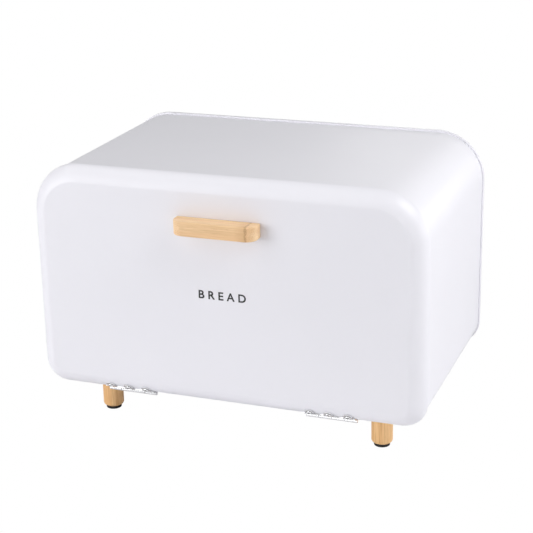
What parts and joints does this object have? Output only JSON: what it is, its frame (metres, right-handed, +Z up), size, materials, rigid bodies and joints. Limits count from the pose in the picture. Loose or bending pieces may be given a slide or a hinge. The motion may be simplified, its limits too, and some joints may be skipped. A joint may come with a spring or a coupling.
{
  "type": "bread box with fall-front door",
  "caption": "White coated steel bread box with round corners, a front door that falls open on bottom hinges, a wooden bar handle and wooden legs.",
  "frame": {"origin": "on the floor, below the middle of the closed box's outer size, handle included", "axes": "+X to the right seen from the front, +Y from the door to the back, +Z up"},
  "size_m": [0.4, 0.259, 0.2724],
  "materials": {
    "white_coat": "smooth satin powder coat on steel sheet",
    "bamboo": "sanded, lightly oiled bamboo",
    "black_rubber": "matt self-adhesive pad",
    "chrome": "bright plated steel",
    "zinc_steel": "zinc plated",
    "white_plastic": "moulded, satin",
    "nickel": "nickel plated magnet",
    "black_print": "screen print on the coat"
  },
  "bodies": {
    "box": {"body_wrap": "white_coat", "back_panel": "white_coat", "leg_front_left": "bamboo", "leg_front_right": "bamboo", "leg_rear_left": "bamboo", "leg_rear_right": "bamboo", "foot_pad_front_left": "black_rubber", "foot_pad_front_right": "black_rubber", "foot_pad_rear_left": "black_rubber", "foot_pad_rear_right": "black_rubber", "leg_washer_front_left": "zinc_steel", "leg_washer_front_right": "zinc_steel", "leg_washer_rear_left": "zinc_steel", "leg_washer_rear_right": "zinc_steel", "leg_screw_front_left": "zinc_steel", "leg_screw_front_right": "zinc_steel", "leg_screw_rear_left": "zinc_steel", "leg_screw_rear_right": "zinc_steel", "hinge_body_leaf_left": "chrome", "hinge_body_leaf_right": "chrome", "hinge_pin_left": "chrome", "hinge_pin_right": "chrome", "magnet_cup_left": "white_plastic", "magnet_cup_right": "white_plastic", "magnet_left": "nickel", "magnet_right": "nickel", "hinge_body_rivet_left_1": "chrome", "hinge_body_rivet_left_2": "chrome", "hinge_body_rivet_left_3": "chrome", "hinge_body_rivet_right_1": "chrome", "hinge_body_rivet_right_2": "chrome", "hinge_body_rivet_right_3": "chrome"},
    "door": {"door_panel": "white_coat", "handle": "bamboo", "handle_washer_left": "zinc_steel", "handle_washer_right": "zinc_steel", "handle_screw_left": "zinc_steel", "handle_screw_right": "zinc_steel", "hinge_door_leaf_left": "chrome", "hinge_door_leaf_right": "chrome", "hinge_door_rivet_left_1": "chrome", "hinge_door_rivet_left_2": "chrome", "hinge_door_rivet_left_3": "chrome", "hinge_door_rivet_right_1": "chrome", "hinge_door_rivet_right_2": "chrome", "hinge_door_rivet_right_3": "chrome"}
  },
  "joints": [
    {"name": "door_hinge", "type": "hinge", "parent": "box", "child": "door", "pos_m": [0, -0.0955, 0.0382], "axis": [1, 0, 0], "range_deg": [0, 90]}
  ]
}
